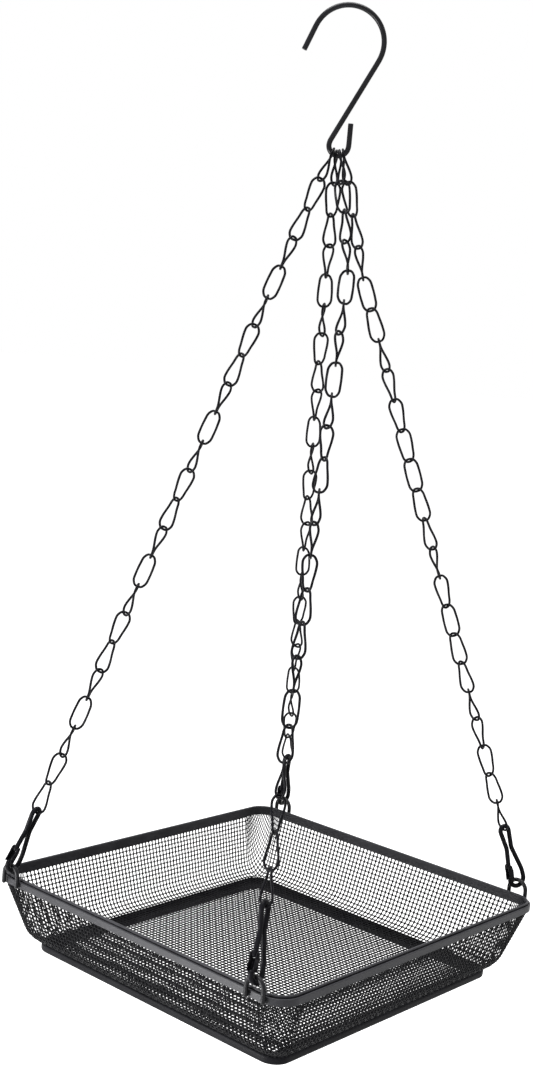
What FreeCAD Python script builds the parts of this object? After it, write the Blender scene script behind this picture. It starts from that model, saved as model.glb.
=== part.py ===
"""Hanging mesh tray feeder.

A shallow tray of woven wire mesh hangs from four chains on one S-hook. A wire
snap at the foot of each chain hooks into a wire eye on the tray's rim.

Frame: the origin is where the S-hook hangs, on the inside of its upper bend.
Z points up, X runs along the tray's two short sides and Y along its two long
ones. All sizes are in millimetres. Round wire is drawn with a few flat sides.
"""
import FreeCAD, Part
import math
import os

V = FreeCAD.Vector
UP = V(0, 0, 1)

# S-hook
hook_wire = 3.0
hook_sides = 8
hook_upper_radius = 20.0
hook_tip_length = 10.5
hook_tip_turn = 165.0
hook_loop_radius = 5.6
hook_height = 75.0
hook_leg_length = 12.5
hook_plane_azimuth = 40.0
hook_upper_steps = 13
hook_loop_steps = 8

# Chain links: ovals of thin wire, each twisted a little along its length
link_wire = 1.25
link_sides = 4
link_inner_length = 18.0
link_width = 9.5
link_twist = 36.0
link_tip_share = 0.5
link_shoulder_share = 0.75
link_count = 23
joint_play = 0.19
loop_play = 0.43
seat_spacing = 31.0
bend_joint = 4

# Snap hooks
snap_wire = 2.8
snap_sides = 6
snap_inner_length = 36.4
snap_bend_radius = 4.8
snap_eye_radius = 2.9
snap_waist_height = 23.5
snap_waist_half = 1.62
snap_belly_height = 8.0
snap_bend_steps = 6
snap_eye_steps = 6
nose_height = 4.9

# Gates and their pins
pin_height = 12.2
gate_overlap = 1.0
gate_sheet = 0.6
gate_side_play = 0.3
gate_web_play = 0.05
gate_flange_depth = 1.3
pin_wire = 1.2
pin_sides = 6
pin_play = 0.04
pin_edge = 1.5

# Rim eyes
eye_wire = 2.5
eye_sides = 6
eye_width = 14.0
eye_seat_height = 6.0
eye_from_corner = 17.0
eye_steps = 5
eye_play = 0.03

# Rim: sheet folded over the mesh's edge
tray_width = 225.0
tray_length = 235.0
rim_corner = 14.0
rim_height = 5.2
rim_thickness = 2.8
rim_outer_sheet = 1.15
rim_inner_sheet = 0.75
rim_crown = 1.2
rim_inner_height = 4.4
rim_step = 0.2
rim_groove = 0.35
corner_steps = 4

# Mesh tray: insets and drops of the sheet's middle, from the rim's outside and top
mesh_thickness = 0.8
mesh_play = 0.05
mesh_inset = 1.6
wall_top = 5.4
wall_foot_inset = 10.8
curve_inset = 14.5
shelf_inset = 18.8
shelf_end_inset = 29.0
shelf_depth = 42.6
curve_depth = shelf_depth - 1.8
wall_depth = shelf_depth - 6.6
length_inset_share = 0.204
corner_tighten = 0.12
least_corner = 3.0
ridge_height = 0.5
ridge_width = 1.8
ridge_share = 0.5
gap_rows = 2
gap_row_share = 0.44
gap_columns = 6
gap_fill = 0.78
gap_margin = 14.0

# Mesh floor, lying on the mesh tray's inturned shelf
floor_inset = 20.0
floor_ridge_height = 0.5
floor_ridge_width = 1.8
floor_columns = 8
floor_rows = 7
floor_gap_fill = 0.8

# Foot ring, a folded channel under the mesh tray, and the flat band that lies on its hem
foot_inset = 16.8
foot_sheet = 0.8
foot_flange = 2.6
foot_hem = 3.2
foot_height = 5.1
band_play = 0.1
band_thickness = 0.8
band_reach = 10.6
band_corner = 9.6
band_inner_corner = 7.0
tray_depth = shelf_depth + foot_height


def unit(vector):
    """Return the vector at length one."""
    return vector * (1.0 / vector.Length)


def direction(azimuth):
    """Return the level direction at this azimuth in degrees from X."""
    angle = math.radians(azimuth)
    return V(math.cos(angle), math.sin(angle), 0)


def turned(level, upright, degrees):
    """Return the direction square to upright nearest to level, turned about upright."""
    level = unit(level - upright * level.dot(upright))
    angle = math.radians(degrees)
    return level * math.cos(angle) + upright.cross(level) * math.sin(angle)


def place(shape, origin, level, upright):
    """Return a copy with its Z along upright and its X nearest to level."""
    x_axis = turned(level, upright, 0.0)
    y_axis = upright.cross(x_axis)
    matrix = FreeCAD.Matrix(
        x_axis.x, y_axis.x, upright.x, origin.x,
        x_axis.y, y_axis.y, upright.y, origin.y,
        x_axis.z, y_axis.z, upright.z, origin.z,
        0, 0, 0, 1,
    )
    return shape.transformed(matrix, copy=True)


def face(points):
    """Return the flat face inside the points."""
    return Part.Face(Part.makePolygon(points + [points[0]]))


def is_flat(points):
    """Say whether four points lie in one plane."""
    a, b, c, d = points
    normal = (b - a).cross(c - a)
    return abs(normal.dot(d - a)) < 1e-7 * normal.Length


def skin(rings, closed):
    """Return the solid whose cross-sections are the rings, in order.

    Every ring has as many points. A closed run joins the last ring to the
    first; an open one is capped at both ends.
    """
    faces = []
    spans = len(rings) if closed else len(rings) - 1
    for i in range(spans):
        near = rings[i]
        far = rings[(i + 1) % len(rings)]
        for j in range(len(near)):
            k = (j + 1) % len(near)
            quad = [near[j], near[k], far[k], far[j]]
            if is_flat(quad):
                faces.append(face(quad))
            else:
                faces.append(face(quad[:3]))
                faces.append(face([quad[0], quad[2], quad[3]]))
    if not closed:
        faces.append(face(rings[0]))
        faces.append(face(rings[-1]))
    shell = Part.makeShell(faces)
    shell.sewShape()
    solid = Part.makeSolid(shell)
    if solid.Volume < 0:
        solid.reverse()
    return solid


def bar(points, normals, diameter, sides, closed=False):
    """Return a bar with a many-sided section along straight runs.

    normals holds, for each point, the direction square to the plane in which
    the bar turns there. The flats lie at half the diameter from the centre.
    """
    corner = diameter / 2.0 / math.cos(math.pi / sides)
    count = len(points)
    rings = []
    for i, point in enumerate(points):
        runs = []
        if closed or i > 0:
            runs.append(unit(point - points[i - 1]))
        if closed or i < count - 1:
            runs.append(unit(points[(i + 1) % count] - point))
        along = unit(runs[0] + runs[-1])
        outward = unit(along.cross(normals[i]))
        across = outward.cross(along)
        stretch = corner / along.dot(runs[0])
        ring = []
        for k in range(sides):
            angle = 2.0 * math.pi * (k + 0.5) / sides
            aside = outward * (stretch * math.cos(angle))
            ring.append(point + aside + across * (corner * math.sin(angle)))
        rings.append(ring)
    return skin(rings, closed)


def arc(centre, radius, start, end, steps, level):
    """Return the corners of a run of flats that touch an upright arc.

    The angles are in degrees from the level direction, upwards.
    """
    reach = radius / math.cos(math.radians(end - start) / steps / 2.0)
    points = []
    for i in range(steps):
        angle = math.radians(start + (end - start) * (i + 0.5) / steps)
        points.append(centre + level * (reach * math.cos(angle)) + UP * (reach * math.sin(angle)))
    return points


def save(name, shapes):
    """Write one node; several shapes stay separate solids."""
    shape = shapes[0] if len(shapes) == 1 else Part.makeCompound(shapes)
    shape.exportStep(os.path.join("parts", name + ".step"))
    triangles = len(shape.tessellate(0.05)[1])
    state = "valid" if shape.isValid() else "INVALID"
    print(name, len(shape.Solids), "solids", round(shape.Volume, 1), "mm3", triangles, state)
    return triangles


# The S-hook lies in its own upright plane
hook_level = direction(hook_plane_azimuth)
hook_normal = direction(hook_plane_azimuth - 90.0)
upper_centre = V(0, 0, hook_wire / 2.0 - hook_upper_radius)
loop_centre = V(0, 0, -hook_height)
loop_inner = hook_loop_radius - hook_wire / 2.0


def s_hook():
    """Return the hook: open upper bend, slanting shank, small lower loop."""
    between = upper_centre.z - loop_centre.z
    shank = math.degrees(math.asin((hook_upper_radius + hook_loop_radius) / between))
    tip_start = arc(upper_centre, hook_upper_radius, hook_tip_turn, hook_tip_turn, 1, hook_level)[0]
    tip_run = turned(hook_level, hook_normal, 90.0 - hook_tip_turn)
    points = [tip_start + tip_run * hook_tip_length]
    points += arc(upper_centre, hook_upper_radius, hook_tip_turn, -shank, hook_upper_steps, hook_level)
    points += arc(loop_centre, hook_loop_radius, 180.0 - shank, 360.0, hook_loop_steps, hook_level)
    points.append(loop_centre + hook_level * hook_loop_radius + UP * hook_leg_length)
    return bar(points, [hook_normal] * len(points), hook_wire, hook_sides)


# Where the chains start and end. The chains' length sets how low the tray hangs
eye_corner = eye_wire / 2.0 / math.cos(math.pi / eye_sides)
eye_reach_x = tray_width / 2.0 - eye_from_corner
eye_reach_y = tray_length / 2.0 + eye_corner + eye_play
chain_length = link_count * (link_inner_length - joint_play) + snap_inner_length
chain_reach = math.hypot(eye_reach_x, eye_reach_y)
eye_seat_z = loop_centre.z - loop_inner - math.sqrt(chain_length ** 2 - chain_reach ** 2)
rim_top = eye_seat_z - eye_seat_height

# How each link is turned about the chain, in degrees from the hook's plane, as the chains hang.
# Two of them hang evenly; the other two have slipped into a looser order
even_step = 108.0
front_turns = [
    80, 170, 100, 54, 162, 90, 54, 162, 90, 28, 126, 90,
    54, 18, 126, 114, 54, 162, 126, 90, 30, 116, 104,
]
right_turns = [
    90, 10, 104, 54, 162, 140, 90, 36, 18, 0, 160, 140,
    110, 57, 15, 155, 138, 120, 90, 36, 5, 135, 87,
]

# Each chain: the side of its corner in X and in Y; the place of its top link on the hook's loop;
# how far its bend lies to the side; its links' turns; the azimuth of its snap; how far its last
# link hangs inside the snap's eye, and its snap under the rim eye's crown
chains = {
    "left": {
        "side_x": -1, "side_y": -1, "seat": -1.5, "bend": 0.0,
        "turns": [90 + even_step * i for i in range(link_count)],
        "snap_azimuth": 95.0, "eye_drop": 0.25, "crown_drop": 0.4,
    },
    "back": {
        "side_x": -1, "side_y": 1, "seat": -0.5, "bend": 0.0,
        "turns": [80 + even_step * i for i in range(link_count)],
        "snap_azimuth": 95.0, "eye_drop": 0.15, "crown_drop": 0.5,
    },
    "front": {
        "side_x": 1, "side_y": -1, "seat": 0.5, "bend": 12.0, "turns": front_turns,
        "snap_azimuth": 95.0, "eye_drop": 0.15, "crown_drop": 0.5,
    },
    "right": {
        "side_x": 1, "side_y": 1, "seat": 1.5, "bend": -6.5, "turns": right_turns,
        "snap_azimuth": 65.0, "eye_drop": 0.25, "crown_drop": 0.9,
    },
}


def hook_seat(place_on_loop):
    """Return the point on the loop's inside where a chain's top link sits."""
    angle = math.radians(place_on_loop * seat_spacing)
    radius = loop_inner - loop_play
    return loop_centre + hook_level * (radius * math.sin(angle)) - UP * (radius * math.cos(angle))


def chain_joints(top, bottom, shift, snap_share):
    """Return the points where the links of one chain meet, from the top.

    The chain is bent at one joint, which lies to the side of the straight
    line by the shift. snap_share is what the snap adds to its length.
    """
    bend = top + (bottom - top) * (bend_joint / float(link_count)) + hook_level * shift
    for _ in range(20):
        path = (bend - top).Length + (bottom - bend).Length
        pitch = (path - snap_share) / link_count
        bend = top + unit(bend - top) * (bend_joint * pitch)
    joints = []
    for i in range(link_count + 1):
        if i <= bend_joint:
            joints.append(top + unit(bend - top) * (i * pitch))
        else:
            joints.append(bend + unit(bottom - bend) * ((i - bend_joint) * pitch))
    return joints


def plain_link():
    """Return one link hanging from the origin, its upper end flat in XZ."""
    half = (link_width - link_wire) / 2.0
    tip = half * link_tip_share
    top = link_wire / 2.0
    bottom = -link_inner_length - link_wire / 2.0
    shoulder = half * link_shoulder_share
    corners = [
        (tip, top, 0.0),
        (half, top - shoulder, 0.0),
        (half, bottom + shoulder, link_twist),
        (tip, bottom, link_twist),
        (-tip, bottom, link_twist),
        (-half, bottom + shoulder, link_twist),
        (-half, top - shoulder, 0.0),
        (-tip, top, 0.0),
    ]
    points = [direction(turn) * side + UP * height for side, height, turn in corners]
    normals = [direction(turn + 90.0) for side, height, turn in corners]
    return bar(points, normals, link_wire, link_sides, closed=True)


def chain_links(link, joints, turns):
    """Return the links of one chain, from the top."""
    links = []
    for i, turn in enumerate(turns):
        upright = unit(joints[i] - joints[i + 1])
        links.append(place(link, joints[i], turned(hook_level, upright, turn), upright))
    return links


# The snap's own plane is XZ, with the inside of its lower bend at the origin
bend_centre = V(0, 0, snap_bend_radius - snap_wire / 2.0)
waist = V(-snap_waist_half, 0, snap_waist_height)
leg_lean = math.asin(snap_bend_radius / (waist - bend_centre).Length)
leg_lean -= math.atan2(snap_waist_half, waist.z - bend_centre.z)
leg_run = V(math.sin(leg_lean), 0, math.cos(leg_lean))
leg_inward = V(leg_run.z, 0, -leg_run.x)


def leg_point(height):
    """Return the point on the gate's leg at this height above the bend."""
    return waist - leg_run * ((waist.z - height) / leg_run.z)


def pin_bar(diameter, length):
    """Return a bar along the pin's place, square to the snap."""
    aside = V(0, length / 2.0, 0)
    pivot = leg_point(pin_height)
    return bar([pivot - aside, pivot + aside], [UP, UP], diameter, pin_sides)


def snap_frame():
    """Return one snap's bent wire, from the nose round to the gate's pin."""
    across = V(1, 0, 0)
    lean = math.degrees(leg_lean)
    eye_centre = UP * (snap_inner_length + snap_wire / 2.0 - snap_eye_radius)
    points = [leg_point(nose_height)]
    points += arc(bend_centre, snap_bend_radius, 180.0 - lean, 360.0, snap_bend_steps, across)
    points.append(V(snap_bend_radius, 0, snap_belly_height))
    points.append(V(snap_waist_half, 0, snap_waist_height))
    points += arc(eye_centre, snap_eye_radius, -15.0, 195.0, snap_eye_steps, across)
    points.append(waist)
    points.append(leg_point(pin_height) - leg_run * pin_edge)
    wire = bar(points, [V(0, 1, 0)] * len(points), snap_wire, snap_sides)
    return wire.cut(pin_bar(pin_wire + 2.0 * pin_play, snap_wire * 2.0))


def gate_pin():
    """Return the pin, flush with the gate's two cheeks."""
    return pin_bar(pin_wire, snap_wire + 2.0 * (gate_side_play + gate_sheet))


def gate():
    """Return the folded channel that closes the snap from the inside."""
    pivot = leg_point(pin_height)
    nose = leg_point(nose_height)
    cheek = snap_wire / 2.0 + gate_side_play
    outside = cheek + gate_sheet
    web = snap_wire / 2.0 + gate_web_play
    section = [
        (-gate_flange_depth, -outside), (web + gate_sheet, -outside),
        (web + gate_sheet, outside), (-gate_flange_depth, outside),
        (-gate_flange_depth, cheek), (web, cheek), (web, -cheek), (-gate_flange_depth, -cheek),
    ]
    rings = []
    for start in (pivot + leg_run * pin_edge, nose - leg_run * gate_overlap):
        rings.append([start + leg_inward * inward + V(0, aside, 0) for inward, aside in section])
    channel = skin(rings, False)
    # The web stops below the pin so that the gate can swing in past the wire's end
    window = Part.makeBox(4.0 * web, 2.0 * cheek, 2.0 * pin_edge + gate_side_play)
    window.translate(V(0, -cheek, -pin_edge - gate_side_play))
    channel = channel.cut(place(window, pivot, leg_inward, leg_run))
    # The cheeks' holes clear the pin's corners
    hole = pin_wire / math.cos(math.pi / pin_sides) + 2.0 * pin_play
    return channel.cut(pin_bar(hole, 4.0 * outside))


def rim_eye(side_x, side_y):
    """Return one upturned U of wire on the outside of the rim."""
    radius = (eye_width - eye_wire) / 2.0
    across = V(1, 0, 0)
    crown = eye_seat_z + eye_wire / 2.0
    centre = V(side_x * eye_reach_x, side_y * eye_reach_y, crown - radius)
    drop = UP * (centre.z - rim_top + rim_height)
    points = [centre - across * radius - drop]
    points += arc(centre, radius, 180.0, 0.0, eye_steps, across)
    points.append(centre + across * radius - drop)
    return bar(points, [V(0, 1, 0)] * len(points), eye_wire, eye_sides)


def oblong(inset_x, inset_y, radius, drop):
    """Return the points of a level oblong with rounded corners, under the rim's top."""
    half_x = tray_width / 2.0 - inset_x
    half_y = tray_length / 2.0 - inset_y
    points = []
    for sign_x, sign_y, start in ((1, -1, -90.0), (1, 1, 0.0), (-1, 1, 90.0), (-1, -1, 180.0)):
        centre = V(sign_x * (half_x - radius), sign_y * (half_y - radius), rim_top - drop)
        for i in range(corner_steps + 1):
            points.append(centre + direction(start + 90.0 * i / corner_steps) * radius)
    return points


def hoop(levels):
    """Return a closed hoop round the tray from the oblongs on its surface, in order."""
    rings = [[level[i] for level in levels] for i in range(len(levels[0]))]
    return skin(rings, True)


def base_inset(inset):
    """Return the mesh's inset from the long sides for its inset from the short sides."""
    return inset + (inset - mesh_inset) * length_inset_share


def mesh_level(inset, aside, drop):
    """Return the oblong on a sheet whose middle has this inset, moved further in by aside."""
    radius = rim_corner - mesh_inset - (inset - mesh_inset) * corner_tighten - aside
    return oblong(inset + aside, base_inset(inset) + aside, max(radius, least_corner), drop)


def sheet_sides(line, thickness):
    """Return both surfaces of a folded sheet as rows of inset, further inset and drop."""
    sides = []
    for distance in (thickness / 2.0, -thickness / 2.0):
        rows = []
        for i, (inset, drop) in enumerate(line):
            before = line[max(i - 1, 0)]
            after = line[min(i + 1, len(line) - 1)]
            runs = []
            if i > 0:
                runs.append(unit(V(inset - before[0], drop - before[1], 0)))
            if i < len(line) - 1:
                runs.append(unit(V(after[0] - inset, after[1] - drop, 0)))
            aside = UP.cross(unit(runs[0] + runs[-1]))
            aside = aside * (distance / aside.dot(UP.cross(runs[0])))
            rows.append((inset, aside.x, drop + aside.y))
        sides.append(rows)
    return sides


def rim():
    """Return the rim, folded down on both sides of the mesh's top edge."""
    slot_outer = rim_outer_sheet
    slot_inner = rim_thickness - rim_inner_sheet
    section = [
        (0.0, rim_height), (0.0, rim_step + rim_groove), (rim_groove, rim_step),
        (slot_outer, rim_step), (slot_outer + rim_groove, rim_step + rim_groove),
        (slot_outer + 2.0 * rim_groove, 0.0), (rim_thickness, 0.0),
        (rim_thickness, rim_inner_height), (slot_inner, rim_inner_height),
        (slot_inner, rim_crown), (slot_outer, rim_crown), (slot_outer, rim_height),
    ]
    return hoop([oblong(inset, inset, rim_corner - inset, drop) for inset, drop in section])


# The sloping wall runs between these two points of the sheet's middle
wall_run = V(wall_foot_inset - mesh_inset, wall_depth - wall_top, 0)
wall_length = wall_run.Length


def wall_point(share):
    """Return the inset and drop of the wall's middle at this share of its run."""
    return mesh_inset + wall_run.x * share, wall_top + wall_run.y * share


def ridge_rows():
    """Return the three rows of the ridge that runs round the wall's outside."""
    inset, drop = wall_point(ridge_share)
    down = wall_run * (1.0 / wall_length)
    out = V(-down.y, down.x, 0)
    rows = []
    for along, height in ((-0.5, 0.0), (0.0, ridge_height), (0.5, 0.0)):
        place_on_wall = out * (mesh_thickness / 2.0 + height) + down * (ridge_width * along)
        rows.append((inset, place_on_wall.x, drop + place_on_wall.y))
    return rows


def wall_gaps():
    """Return the cutters of the gaps in the four walls, in rows on each side of the ridge."""
    cutters = []
    tall = wall_length * gap_row_share * gap_fill
    for side in range(4):
        outward = direction(90.0 * side)
        along = direction(90.0 * side + 90.0)
        long_side = side % 2 == 1
        half = tray_length / 2.0 if long_side else tray_width / 2.0
        room_end = tray_width / 2.0 if long_side else tray_length / 2.0
        foot = base_inset(wall_foot_inset) if long_side else wall_foot_inset
        down = unit(outward * (mesh_inset - foot) - UP * wall_run.y)
        for row in range(gap_rows):
            inset, drop = wall_point(ridge_share + gap_row_share * (row + 0.5 - gap_rows / 2.0))
            inset = base_inset(inset) if long_side else inset
            room = room_end - gap_margin - inset
            pitch = 2.0 * room / gap_columns
            wide = pitch * gap_fill
            for column in range(gap_columns):
                centre = outward * (half - inset) + UP * (rim_top - drop)
                centre += along * (pitch * (column + 0.5) - room)
                box = Part.makeBox(wide, 4.0 * mesh_thickness, tall)
                box.translate(V(-wide / 2.0, -2.0 * mesh_thickness, -tall / 2.0))
                cutters.append(place(box, centre, along, down))
    return cutters


def grid_lines(half, cells):
    """Return the lines of an even grid one way, from edge to edge."""
    return [half * (2.0 * i / cells - 1.0) for i in range(cells + 1)]


# The floor's grid fills the space inside the shelf
grid_x = grid_lines(tray_width / 2.0 - shelf_end_inset, floor_columns)
grid_y = grid_lines(tray_length / 2.0 - base_inset(shelf_end_inset), floor_rows)


def grid_gaps():
    """Return the cutters of the floor's gaps, one in each cell of the grid."""
    cutters = []
    tall = 6.0 * mesh_thickness
    wide = (grid_x[1] - grid_x[0]) * floor_gap_fill
    long = (grid_y[1] - grid_y[0]) * floor_gap_fill
    for i in range(floor_columns):
        for j in range(floor_rows):
            corner_x = (grid_x[i] + grid_x[i + 1] - wide) / 2.0
            corner_y = (grid_y[j] + grid_y[j + 1] - long) / 2.0
            gap = Part.makeBox(wide, long, tall)
            gap.translate(V(corner_x, corner_y, rim_top - shelf_depth - tall / 2.0))
            cutters.append(gap)
    return cutters


def mesh_body():
    """Return the drawn mesh tray: walls, curved foot and inturned shelf."""
    line = [
        (mesh_inset, rim_crown + mesh_play), wall_point(0.0), wall_point(1.0),
        (curve_inset, curve_depth), (shelf_inset, shelf_depth), (shelf_end_inset, shelf_depth),
    ]
    outer, inner = sheet_sides(line, mesh_thickness)
    rows = outer[:2] + ridge_rows() + outer[2:] + inner[::-1]
    body = hoop([mesh_level(*row) for row in rows])
    return body.cut(Part.makeCompound(wall_gaps()))


def floor_mesh():
    """Return the mesh floor, lying on the shelf, with ridges between the grid's gaps."""
    low = shelf_depth - mesh_thickness / 2.0 - mesh_play
    panel = face(mesh_level(floor_inset, 0.0, low)).extrude(UP * mesh_thickness)
    ridge_half = grid_y[-1] - mesh_thickness
    for x in grid_x[2:-2:2]:
        ridge = Part.makeBox(floor_ridge_width, 2.0 * ridge_half, mesh_thickness + floor_ridge_height)
        ridge.translate(V(x - floor_ridge_width / 2.0, -ridge_half, rim_top - low))
        panel = panel.fuse(ridge)
    return panel.cut(Part.makeCompound(grid_gaps())).removeSplitter()


def floor_band():
    """Return the flat band that lies on the foot's hem, a little below the mesh floor."""
    low = tray_depth - foot_sheet - mesh_play
    high = low - band_thickness
    levels = []
    for aside, radius in ((foot_sheet + band_play, band_corner), (band_reach, band_inner_corner)):
        for drop in (low, high):
            levels.append(oblong(foot_inset + aside, base_inset(foot_inset) + aside, radius, drop))
    return hoop([levels[0], levels[1], levels[3], levels[2]])


def foot_ring():
    """Return the foot: a strip folded in under the shelf and hemmed at its bottom."""
    half = foot_sheet / 2.0
    flange_drop = shelf_depth + mesh_thickness / 2.0 + mesh_play + half
    line = [
        (foot_flange, flange_drop), (half, flange_drop),
        (half, tray_depth - half), (foot_hem, tray_depth - half),
    ]
    outer, inner = sheet_sides(line, foot_sheet)
    rows = outer + inner[::-1]
    return hoop([mesh_level(foot_inset, inset + aside, drop) for inset, aside, drop in rows])


os.makedirs("parts", exist_ok=True)
total = save("s_hook", [s_hook()])
one_link = plain_link()
one_frame = snap_frame()
one_gate = gate()
one_pin = gate_pin()
for name, chain in chains.items():
    side_x = chain["side_x"]
    side_y = chain["side_y"]
    bottom = V(side_x * eye_reach_x, side_y * eye_reach_y, eye_seat_z - chain["crown_drop"])
    joints = chain_joints(hook_seat(chain["seat"]), bottom, chain["bend"], snap_inner_length - chain["eye_drop"])
    links = chain_links(one_link, joints, chain["turns"])
    total += save("chain_%s_top_link" % name, links[:1])
    total += save("chain_%s_links" % name, links[1:-1])
    total += save("chain_%s_end_link" % name, links[-1:])
    snap_up = unit(joints[-1] - bottom)
    snap_level = direction(chain["snap_azimuth"])
    total += save("snap_frame_" + name, [place(one_frame, bottom, snap_level, snap_up)])
    total += save("snap_gate_" + name, [place(one_gate, bottom, snap_level, snap_up)])
    total += save("gate_pin_" + name, [place(one_pin, bottom, snap_level, snap_up)])
    total += save("rim_eye_" + name, [rim_eye(side_x, side_y)])
total += save("rim", [rim()])
total += save("mesh_body", [mesh_body()])
total += save("floor_mesh", [floor_mesh()])
total += save("floor_band", [floor_band()])
total += save("foot_ring", [foot_ring()])
print("rim top", round(rim_top, 2), "bottom", round(rim_top - tray_depth, 2), "triangles", total)
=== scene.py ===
"""Looks of the hanging mesh tray feeder.

Every piece is worked out in millimetres, in the part's own frame, and written
to its mesh in metres. The frame's origin is where the S-hook hangs. Z points
up, X runs along the tray's two short sides and Y along its two long ones.
"""

from __future__ import annotations

import logging
import math
from dataclasses import dataclass, field
from enum import Enum
from typing import Any, Optional

import bpy
import numpy as np
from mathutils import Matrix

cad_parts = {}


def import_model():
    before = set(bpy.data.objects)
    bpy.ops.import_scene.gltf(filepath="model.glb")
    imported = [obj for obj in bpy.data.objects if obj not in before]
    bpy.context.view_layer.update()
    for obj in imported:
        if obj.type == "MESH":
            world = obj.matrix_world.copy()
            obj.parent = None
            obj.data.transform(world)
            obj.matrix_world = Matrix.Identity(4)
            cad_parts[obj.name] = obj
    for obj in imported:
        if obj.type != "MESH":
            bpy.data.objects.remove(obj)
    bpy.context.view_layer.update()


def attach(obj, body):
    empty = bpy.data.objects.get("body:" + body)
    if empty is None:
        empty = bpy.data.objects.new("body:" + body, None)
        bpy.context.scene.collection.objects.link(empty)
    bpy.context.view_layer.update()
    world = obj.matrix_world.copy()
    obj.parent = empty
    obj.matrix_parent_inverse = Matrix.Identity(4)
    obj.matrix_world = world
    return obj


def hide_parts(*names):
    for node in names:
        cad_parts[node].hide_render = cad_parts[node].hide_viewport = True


log = logging.getLogger("feeder")

X_AXIS, Y_AXIS, UP = np.eye(3)
TO_METRES = 0.001
LINK_COUNT = 23
# The fewest points of an evened line, and the degrees between an arc's points.
LEAST_POINTS = 8
ARC_STEP = 6.0
# How many rings a dome has, and the least square of their share of its radius.
DOME_RINGS = 6
DOME_TIP = 0.02
# Keeps a length or a radius that may be nothing from being divided by as zero.
TINY = 1e-9

Array = np.ndarray
Colour = tuple[float, float, float]
Place = tuple[float, float, float]
Pair = tuple[float, float]


class Slot(Enum):
    """The record's material slots."""

    HOOK = "hook_coat"
    CHAIN = "chain_coat"
    SNAP = "snap_coat"
    RIM = "rim_coat"
    MESH = "mesh_coat"
    BASE = "base_coat"


class Run(Enum):
    """The two ways in which the wires of a woven mesh run."""

    ALONG_Y = 1.0
    ALONG_X = -1.0


def unit(vectors: Array) -> Array:
    """Return the vectors at length one: each divided by its own length."""
    return vectors / np.linalg.norm(vectors, axis=-1, keepdims=True)


def level(azimuth: float) -> Array:
    """Return the level direction at an azimuth in degrees from X."""
    angle = math.radians(azimuth)
    return np.array([math.cos(angle), math.sin(angle), 0.0])


def turned(start: Array, upright: Array, degrees: float) -> Array:
    """Return the direction square to upright nearest to start, turned about upright.

    Args:
        start: the direction to start from.
        upright: the axis to turn about, at length one.
        degrees: how far to turn.

    Returns:
        That direction, at length one.
    """
    flat = unit(start - upright * float(np.dot(start, upright)))
    angle = math.radians(degrees)
    return flat * math.cos(angle) + np.cross(upright, flat) * math.sin(angle)


def lengths(line: Array) -> Array:
    """Return how far along a line each of its points lies."""
    return np.concatenate([[0.0], np.cumsum(np.linalg.norm(np.diff(line, axis=0), axis=1))])


def sampled(line: Array, at: Array) -> Array:
    """Return the points at some lengths along a line."""
    run = lengths(line)
    return np.stack([np.interp(at, run, column) for column in line.T], axis=1)


def evened(corners: Array, step: float, reach: float, closed: bool = False) -> Array:
    """Return a smooth line along a run of straight stretches.

    The run is divided at even steps. Each point then becomes the mean of its
    neighbours, twice over, which rounds every corner. An open line keeps its
    two ends.

    Args:
        corners: the run's corners, one a row.
        step: the distance between the line's points.
        reach: the length over which the points are averaged.
        closed: whether the run comes back to its first corner.

    Returns:
        The line's points, one a row.
    """
    line = np.vstack([corners, corners[:1]]) if closed else np.asarray(corners, float)
    whole = lengths(line)[-1]
    count = max(int(round(whole / step)), LEAST_POINTS)
    line = sampled(line, np.linspace(0.0, whole, count, endpoint=not closed))
    pad = max(int(round(reach / step / 2.0)), 1)
    weights = np.full(2 * pad + 1, 1.0 / (2 * pad + 1))
    for _ in range(2):
        if closed:
            before, after = line[-pad:], line[:pad]
        else:
            before = 2.0 * line[0] - line[pad:0:-1]
            after = 2.0 * line[-1] - line[-2 : -pad - 2 : -1]
        padded = np.concatenate([before, line, after])
        line = np.stack([np.convolve(c, weights, "valid") for c in padded.T], axis=1)
    return line


def arc(centre: Array, radius: float, start: float, end: float, across: Array) -> Array:
    """Return points on an upright arc, every few degrees.

    Args:
        centre: the arc's centre.
        radius: its radius.
        start: the first angle in degrees, upwards from the level direction.
        end: the last angle.
        across: the level direction in the arc's plane.

    Returns:
        The points: the centre plus the radius times (the angle's cosine
        along across and its sine upwards).
    """
    count = max(int(abs(end - start) / ARC_STEP), 2)
    angle = np.radians(np.linspace(start, end, count))[:, None]
    return centre + radius * (np.cos(angle) * across + np.sin(angle) * UP)


def beyond(x: Array, y: Array, halves: Pair) -> tuple[Array, Array, Array]:
    """Return how far points lie outside a middle rectangle: in X, in Y and in all."""
    over = [np.maximum(np.abs(at) - half, 0.0) for at, half in zip((x, y), halves)]
    return over[0], over[1], np.hypot(*over)


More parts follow.
